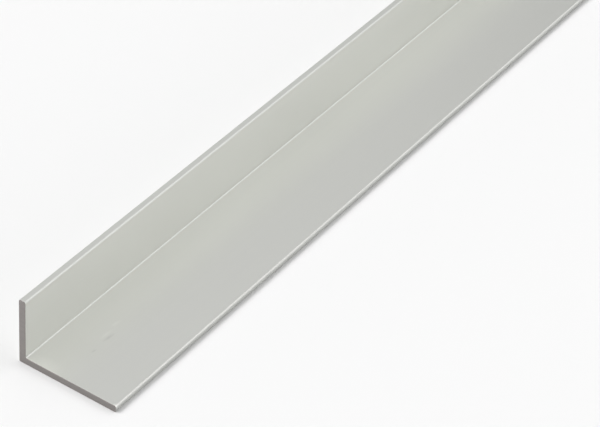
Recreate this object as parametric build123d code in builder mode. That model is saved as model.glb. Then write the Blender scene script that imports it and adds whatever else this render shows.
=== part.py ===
# Unequal aluminium angle: one straight length of extruded bar with an L-shaped section.
# It lies on its wide leg with its length along Y, and the narrow leg stands up along the -X side.
# The origin is in the middle of the length and of the width, on the surface that the bar lies on.
import os

from build123d import *

os.makedirs("parts", exist_ok=True)

# Driving dimensions, in millimetres
LENGTH = 1000.0
WIDE_LEG = 30.0  # the leg that lies flat, over the thickness of the other leg
NARROW_LEG = 20.0  # the leg that stands up, over the thickness of the other leg
WALL = 2.0  # one thickness for both legs
ROOT_RADIUS = 0.4  # inside corner, where the legs meet
HEEL_RADIUS = 0.3  # outside corner, left nearly sharp by the die
TIP_RADIUS = 0.5  # both edges at the free end of each leg
CUT_EDGE_BREAK = 0.1  # burr taken off all round the two sawn ends

# Corners of the section, as (across the bar, height)
heel = (-WIDE_LEG / 2, 0)
root = (heel[0] + WALL, WALL)
wide_tip_low = (heel[0] + WIDE_LEG, 0)
wide_tip_high = (wide_tip_low[0], WALL)
narrow_tip_out = (heel[0], NARROW_LEG)
narrow_tip_in = (root[0], NARROW_LEG)

with BuildPart() as angle_section:
    # The section, drawn across the bar
    with BuildSketch(Plane.XZ) as section:
        with BuildLine():
            Polyline(
                heel,
                wide_tip_low,
                wide_tip_high,
                root,
                narrow_tip_in,
                narrow_tip_out,
                close=True,
            )
        make_face()
        wide_tip = section.vertices().group_by(Axis.X)[-1]
        narrow_tip = section.vertices().group_by(Axis.Y)[-1]
        fillet(wide_tip + narrow_tip, radius=TIP_RADIUS)
        fillet(section.vertices().sort_by_distance(root)[0], radius=ROOT_RADIUS)
        fillet(section.vertices().sort_by_distance(heel)[0], radius=HEEL_RADIUS)
    extrude(amount=LENGTH / 2, both=True)

    # Both ends are sawn square, with the burr taken off
    sawn_ends = angle_section.faces().filter_by(Axis.Y)
    chamfer(sawn_ends.edges(), length=CUT_EDGE_BREAK)

angle_section.part.label = "angle_section"
export_step(angle_section.part, "parts/angle_section.step")
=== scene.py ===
import math

import bmesh
import bpy
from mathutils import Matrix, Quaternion, Vector


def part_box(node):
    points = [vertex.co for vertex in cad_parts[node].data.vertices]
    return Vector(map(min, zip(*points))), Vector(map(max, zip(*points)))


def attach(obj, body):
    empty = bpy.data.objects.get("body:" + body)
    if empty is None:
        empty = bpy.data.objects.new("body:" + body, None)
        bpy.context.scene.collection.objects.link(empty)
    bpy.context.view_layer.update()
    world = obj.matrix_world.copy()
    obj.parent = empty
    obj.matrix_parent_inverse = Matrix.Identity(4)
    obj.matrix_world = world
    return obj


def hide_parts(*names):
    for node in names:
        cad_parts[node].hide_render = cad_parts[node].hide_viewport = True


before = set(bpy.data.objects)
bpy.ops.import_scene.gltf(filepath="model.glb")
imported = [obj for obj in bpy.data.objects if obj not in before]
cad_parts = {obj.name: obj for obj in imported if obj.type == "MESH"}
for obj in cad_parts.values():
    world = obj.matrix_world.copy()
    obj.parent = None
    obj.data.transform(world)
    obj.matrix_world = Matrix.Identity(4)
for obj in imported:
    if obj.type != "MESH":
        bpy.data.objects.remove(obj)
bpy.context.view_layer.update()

MM = 0.001

# Sizes of the section, in metres. The legs and the length come from the frame.
NODE = "angle_section"
WALL = 2.0 * MM
ROOT_RADIUS = 0.4 * MM
HEEL_RADIUS = 0.3 * MM
TIP_RADIUS = 0.5 * MM
CUT_EDGE_BREAK = 0.1 * MM
ARC_STEPS = 10  # facets in each quarter round along the bar
BREAK_STEPS = 3  # facets across the edge break of a sawn end
FLAT_FACES_LEAD = 100  # weight at which the large flat faces set the shading of the roundings
SKIN_SLOT, SAWN_SLOT = 0, 1

low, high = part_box(NODE)
near_y, far_y = low.y, high.y

# The skin
SKIN_COLOUR = (0.686, 0.692, 0.662)
SKIN_METAL = 1.0
SKIN_ROUGHNESS = 0.32
ROUGHNESS_CHANGE = 0.02  # how far the clouds raise and lower it
# The skin is rougher in the root and along the tips, set so that their bright lines are as soft
# as in the photograph: by how much, and how far from the edge that fades out
EDGE_DULLER = 0.12
EDGE_REACH = 0.45 * MM
ENDLESS = 1000 * (far_y - near_y)  # an edge's length here, so that nothing fades along the bar
SKIN_RELIEF = 0.001 * MM  # depth, which the die lines and the grain share
DIE_LINE_SHARE, GRAIN_SHARE = 0.4, 0.6

# The sawn ends
# The sawn ends' colour is darker than bare sawn metal: painted shade on the end faces
SAWN_PAINTED_SHADE_COLOUR = (0.31, 0.29, 0.28)
SAWN_METAL = 1.0
SAWN_ROUGHNESS = (0.42, 0.55)
SAW_LINES = 800.0  # scale of the wave texture
SAW_WAVER = 3.0  # its distortion
SAW_DEPTH = 0.004 * MM
FROM_BLADE = (0.11, 0, 0.15)  # from the middle of the saw's arcs to the bar's, in metres

# The noises: size of their features along X, Y and Z, and the range of lightness from each one
DIE_LINES, DIE_LINE_LIGHT = (0.3 * MM, 90 * MM, 0.3 * MM), (0.995, 1.005)
CLOUDS, CLOUD_LIGHT = (12 * MM, 45 * MM, 12 * MM), (0.992, 1.008)
GRAIN = (0.15 * MM, 0.2 * MM, 0.15 * MM)
SMEARS, SMEAR_LIGHT = (2.5 * MM, 2.5 * MM, 0.8 * MM), (0.93, 1.07)
SAW_LIGHT = (0.97, 1.03)
NOISE_DETAIL = 2.0
NOISE_MIDDLE = (0.3, 0.7)  # the part of a noise's values that is stretched to a range

# Painted light and shade on the wide leg near the end, in mm: each patch runs from one place to
# another, as (across, along) the bar, with its width and how much lighter its middle is than the
# skin.
# The first four are painted shade and painted light: the shaded and the lit slope of a shallow
# dent.
# The last two lie at the end itself: a painted pool of light near the root, and a painted glint at
# the near corner. The glint's colour stays below what polished aluminium reflects.
PAINTED_LIGHT_AND_SHADE = [
    # painted shade and painted light: the shaded and the lit slope of a shallow dent
    ((-1.6, -479.0), (-1.9, -483.4), 1.1, -0.13),
    ((-1.4, -486.6), (-1.7, -488.3), 0.9, -0.1),
    ((-2.9, -478.3), (-3.1, -483.2), 1.2, 0.07),
    ((-3.4, -474.2), (-3.8, -477.6), 1.3, 0.06),
    # painted pool of light near the root at the end
    ((-11.5, -499.0), (-3.5, -499.0), 6.0, 0.08),
    # painted glint at the near corner
    ((14.75, -500.2), (14.75, -499.2), 1.9, 0.3),
]

# The camera, from the bar's edges in the photograph
CAMERA_AT = Vector((0.28791, -0.86259, 0.42747))
CAMERA_TURN = 31.821  # degrees from the bar's length towards -X
CAMERA_DOWN = 38.654  # degrees below the horizon
CAMERA_ROLL = 4.463
FOCAL_LENGTH = 153.81
SENSOR_WIDTH = 36.0

# The studio. Directions are degrees from +X towards +Y, then degrees above the floor.
FLOOR_COLOUR = 0.9
FLOOR_REACH = 6.0  # metres from its middle to each side
# The world's brightness at each height above the horizon, in degrees: pale low down and overhead
SKY = [(3.0, 0.95), (28.0, 0.2), (62.0, 0.2), (72.0, 0.7)]
# Wide soft suns, which light the floor evenly: name, direction, spread in degrees, strength
SUNS = [
    ("key", (214.0, 52.0), 36.0, 2.05),
    ("back", (128.0, 47.0), 44.0, 0.285),
    ("right", (62.0, 42.0), 40.0, 0.47),
    ("low", (20.0, 22.0), 36.0, 0.43),
]


def add_object(name, data):
    made = bpy.data.objects.new(name, data)
    bpy.context.collection.objects.link(made)
    return made


def make_camera():
    turn, down = math.radians(CAMERA_TURN), math.radians(CAMERA_DOWN)
    level = math.cos(down)
    looks = Vector((-math.sin(turn) * level, math.cos(turn) * level, -math.sin(down)))
    data = bpy.data.cameras.new("camera")
    data.lens = FOCAL_LENGTH
    data.sensor_width = SENSOR_WIDTH
    camera = add_object("camera", data)
    camera.location = CAMERA_AT
    camera.rotation_mode = "QUATERNION"
    roll = Quaternion((0, 0, 1), math.radians(CAMERA_ROLL))
    camera.rotation_quaternion = looks.to_track_quat("-Z", "Y") @ roll
    bpy.context.scene.camera = camera


def section_outline():
    """Points round the section as (place, outward direction), both in the XZ plane."""
    # Each corner: its place, the directions of the faces before and after it, and its radius,
    # which is negative for the root because that corner is hollow
    right, up, left, down = Vector((1, 0)), Vector((0, 1)), Vector((-1, 0)), Vector((0, -1))
    corners = [
        (Vector((low.x, low.z)), left, down, HEEL_RADIUS),
        (Vector((high.x, low.z)), down, right, TIP_RADIUS),
        (Vector((high.x, low.z + WALL)), right, up, TIP_RADIUS),
        (Vector((low.x + WALL, low.z + WALL)), up, right, -ROOT_RADIUS),
        (Vector((low.x + WALL, high.z)), right, up, TIP_RADIUS),
        (Vector((low.x, high.z)), up, left, TIP_RADIUS),
    ]
    outline = []
    for corner, before, after, radius in corners:
        centre = corner - radius * (before + after)
        for step in range(ARC_STEPS + 1):
            angle = math.pi / 2 * step / ARC_STEPS
            outward = before * math.cos(angle) + after * math.sin(angle)
            outline.append((centre + radius * outward, outward))
    return outline


def make_bar(side_material, end_material):
    """The whole bar as one closed mesh.

    It is a row of rings of the section's outline, shrunk over the edge break of each end.
    """
    outline = section_outline()
    rings = []
    for step in range(BREAK_STEPS + 1):
        angle = math.pi / 2 * step / BREAK_STEPS
        inset = CUT_EDGE_BREAK * (1 - math.sin(angle))
        shrink = CUT_EDGE_BREAK * (1 - math.cos(angle))
        rings.append((near_y + inset, shrink))
    rings = sorted(rings)
    rings += [(near_y + far_y - y, shrink) for y, shrink in reversed(rings)]

    shape = bmesh.new()
    loops = []
    for y, shrink in rings:
        places = [place - shrink * outward for place, outward in outline]
        loops.append([shape.verts.new((place.x, y, place.y)) for place in places])
    count = len(outline)
    for row, (first, second) in enumerate(zip(loops, loops[1:])):
        for i in range(count):
            j = (i + 1) % count
            face = shape.faces.new((first[i], first[j], second[j], second[i]))
            face.smooth = True
            face.material_index = SKIN_SLOT if row == BREAK_STEPS else SAWN_SLOT
    for loop in (loops[0], loops[-1]):
        cap = shape.faces.new(loop)
        cap.material_index = SAWN_SLOT
    bmesh.ops.recalc_face_normals(shape, faces=shape.faces)
    mesh = bpy.data.meshes.new("bar")
    shape.to_mesh(mesh)
    shape.free()
    mesh.materials.append(side_material)
    mesh.materials.append(end_material)
    bar = add_object("bar", mesh)
    weighted = bar.modifiers.new("even_shading", "WEIGHTED_NORMAL")
    weighted.weight = FLAT_FACES_LEAD
    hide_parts(NODE)
    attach(bar, "root")


def feed(tree, socket, value):
    """Gives a socket a plain value or another node's output."""
    if isinstance(value, bpy.types.NodeSocket):
        tree.links.new(value, socket)
    else:
        socket.default_value = value


def node(tree, kind, inputs=None, **settings):
    """Adds a shader node with the given inputs and settings."""
    made = tree.nodes.new(kind)
    for name, value in settings.items():
        setattr(made, name, value)
    for name, value in (inputs or {}).items():
        feed(tree, made.inputs[name], value)
    return made


def math_of(tree, operation, first, second):
    made = node(tree, "ShaderNodeMath", operation=operation)
    feed(tree, made.inputs[0], first)
    feed(tree, made.inputs[1], second)
    return made.outputs["Value"]


def times(tree, first, second):
    return math_of(tree, "MULTIPLY", first, second)


def plus(tree, first, second):
    return math_of(tree, "ADD", first, second)


def noise(tree, place, size):
    """Noise from 0 to 1 with features of the given size along X, Y and Z, in metres."""
    scale = [1 / length for length in size]
    scaled = node(tree, "ShaderNodeMapping", {"Vector": place, "Scale": scale}).outputs["Vector"]
    texture = node(
        tree,
        "ShaderNodeTexNoise",
        {"Vector": scaled, "Scale": 1.0, "Detail": NOISE_DETAIL},
    )
    return texture.outputs["Fac"]


def spread(tree, value, low_value, high_value):
    """Stretches the middle of a noise to the range between two values."""
    from_min, from_max = NOISE_MIDDLE
    ranged = node(
        tree,
        "ShaderNodeMapRange",
        {
            "Value": value,
            "From Min": from_min,
            "From Max": from_max,
            "To Min": low_value,
            "To Max": high_value,
        },
    )
    return ranged.outputs["Result"]


def tinted(tree, colour, factor):
    """A colour made lighter or darker by a factor that varies over the surface."""
    made = node(tree, "ShaderNodeVectorMath", {"Scale": factor}, operation="SCALE")
    made.inputs[0].default_value = colour
    return made.outputs["Vector"]


def relieved(tree, shader, height, depth):
    """Raises and lowers the surface in the light by a height from 0 to 1 times the depth."""
    bump = node(tree, "ShaderNodeBump", {"Height": height, "Distance": depth, "Strength": 1.0})
    tree.links.new(bump.outputs["Normal"], shader.inputs["Normal"])


def new_metal(name):
    material = bpy.data.materials.new(name)
    material.use_nodes = True
    tree = material.node_tree
    place = node(tree, "ShaderNodeTexCoord").outputs["Object"]
    return material, tree, tree.nodes["Principled BSDF"], place


def ball_mask(tree, place, middle, half_sizes, turn=0.0):
    """1 in the middle of a stretched ball, falling to 0 at its surface. Lengths are in metres."""
    inside = node(
        tree,
        "ShaderNodeMapping",
        {"Vector": place, "Location": middle, "Rotation": (0, 0, turn), "Scale": half_sizes},
        vector_type="TEXTURE",
    ).outputs["Vector"]
    ball = node(tree, "ShaderNodeTexGradient", {"Vector": inside}, gradient_type="SPHERICAL")
    return ball.outputs["Fac"]


def painted_patch_mask(tree, place, start, end, width):
    """1 in the middle of a patch of painted light or painted shade on the wide leg, falling to 0 at
    its rim.
    """
    turn = math.atan2(end[1] - start[1], end[0] - start[0])
    length = math.dist(start, end) + width / 2
    middle = [(a + b) / 2 * MM for a, b in zip(start, end)]
    half_sizes = (length / 2 * MM, width / 2 * MM, WALL / 2)
    return ball_mask(tree, place, (*middle, WALL), half_sizes, turn)


def edge_mask(tree, place, x, z):
    """1 along an edge of the section, falling to 0 a little way out from it."""
    return ball_mask(tree, place, (x, 0, z), (EDGE_REACH, ENDLESS, EDGE_REACH))


def satin_aluminium():
    """The skin: an even silver satin, with faint die lines along the bar and a fine grain, and
    patches of painted light and shade near the end.
    """
    material, tree, shader, place = new_metal("bar_skin")
    die_lines = noise(tree, place, DIE_LINES)
    clouds = noise(tree, place, CLOUDS)
    grain = noise(tree, place, GRAIN)

    light = times(
        tree, spread(tree, die_lines, *DIE_LINE_LIGHT), spread(tree, clouds, *CLOUD_LIGHT)
    )
    # Painted light and shade: a dent's shaded and lit slopes, a pool of light and a glint, as
    # lighter and darker colour
    painted_patches = 1.0
    for start, end, width, change in PAINTED_LIGHT_AND_SHADE:
        mask = painted_patch_mask(tree, place, start, end, width)
        painted_patches = plus(tree, painted_patches, times(tree, mask, change))
    light = times(tree, light, painted_patches)
    tree.links.new(tinted(tree, SKIN_COLOUR, light), shader.inputs["Base Color"])
    shader.inputs["Metallic"].default_value = SKIN_METAL

    smoothest, roughest = SKIN_ROUGHNESS - ROUGHNESS_CHANGE, SKIN_ROUGHNESS + ROUGHNESS_CHANGE
    roughness = spread(tree, clouds, smoothest, roughest)
    root = (low.x + WALL, low.z + WALL)
    wide_tip = (high.x, low.z + WALL)
    narrow_tip = (low.x + WALL, high.z)
    for edge in (root, wide_tip, narrow_tip):
        duller = times(tree, edge_mask(tree, place, *edge), EDGE_DULLER)
        roughness = plus(tree, roughness, duller)
    tree.links.new(roughness, shader.inputs["Roughness"])

    height = plus(tree, times(tree, die_lines, DIE_LINE_SHARE), times(tree, grain, GRAIN_SHARE))
    relieved(tree, shader, height, SKIN_RELIEF)
    return material


def sawn_aluminium():
    """Bare metal of the sawn ends: rougher, with the arcs that the saw leaves; its dark colour is
    painted shade.
    """
    material, tree, shader, place = new_metal("bar_sawn_end")
    from_blade = node(
        tree,
        "ShaderNodeMapping",
        {"Vector": place, "Location": FROM_BLADE, "Scale": (1, 0, 1)},
    ).outputs["Vector"]
    arcs = node(
        tree,
        "ShaderNodeTexWave",
        {"Vector": from_blade, "Scale": SAW_LINES, "Distortion": SAW_WAVER, "Detail": NOISE_DETAIL},
        wave_type="RINGS",
        rings_direction="SPHERICAL",
    ).outputs["Fac"]
    smears = noise(tree, place, SMEARS)
    light = times(tree, spread(tree, smears, *SMEAR_LIGHT), spread(tree, arcs, *SAW_LIGHT))
    tree.links.new(tinted(tree, SAWN_PAINTED_SHADE_COLOUR, light), shader.inputs["Base Color"])
    shader.inputs["Metallic"].default_value = SAWN_METAL
    tree.links.new(spread(tree, smears, *SAWN_ROUGHNESS), shader.inputs["Roughness"])
    relieved(tree, shader, arcs, SAW_DEPTH)
    return material


def make_floor():
    """A plain white floor that keeps the bar's shadow."""
    mesh = bpy.data.meshes.new("floor")
    reach = FLOOR_REACH
    corners = [(-reach, -reach, 0), (reach, -reach, 0), (reach, reach, 0), (-reach, reach, 0)]
    mesh.from_pydata(corners, [], [(0, 1, 2, 3)])
    floor = add_object("floor", mesh)
    material = bpy.data.materials.new("floor")
    material.use_nodes = True
    shader = material.node_tree.nodes["Principled BSDF"]
    shader.inputs["Base Color"].default_value = (FLOOR_COLOUR, FLOOR_COLOUR, FLOOR_COLOUR, 1)
    shader.inputs["Roughness"].default_value = 1.0
    shader.inputs["Specular IOR Level"].default_value = 0.0
    mesh.materials.append(material)


def make_world():
    """A sky of soft greys that changes with the height above the horizon."""
    world = bpy.data.worlds.new("world")
    world.use_nodes = True
    tree = world.node_tree
    direction = node(tree, "ShaderNodeTexCoord").outputs["Generated"]
    rise = node(tree, "ShaderNodeSeparateXYZ", {"Vector": direction}).outputs["Z"]
    sky = node(tree, "ShaderNodeValToRGB", {"Fac": rise})
    stops = sky.color_ramp.elements
    while len(stops) < len(SKY):
        stops.new(1.0)
    for stop, (angle, brightness) in zip(stops, SKY):
        stop.position = math.sin(math.radians(angle))
        stop.color = (brightness, brightness, brightness, 1)
    tree.links.new(sky.outputs["Color"], tree.nodes["Background"].inputs["Color"])
    bpy.context.scene.world = world


def make_sun(name, direction, spread_angle, strength):
    """A lamp that shines from the given direction."""
    data = bpy.data.lights.new(name, "SUN")
    data.energy = strength
    data.angle = math.radians(spread_angle)
    turn, rise = map(math.radians, direction)
    level = math.cos(rise)
    outward = Vector((math.cos(turn) * level, math.sin(turn) * level, math.sin(rise)))
    lamp = add_object(name, data)
    lamp.rotation_mode = "QUATERNION"
    lamp.rotation_quaternion = outward.to_track_quat("Z", "Y")


bpy.context.scene.view_settings.view_transform = "Standard"
make_camera()
make_bar(satin_aluminium(), sawn_aluminium())
make_floor()
make_world()
for sun in SUNS:
    make_sun(*sun)
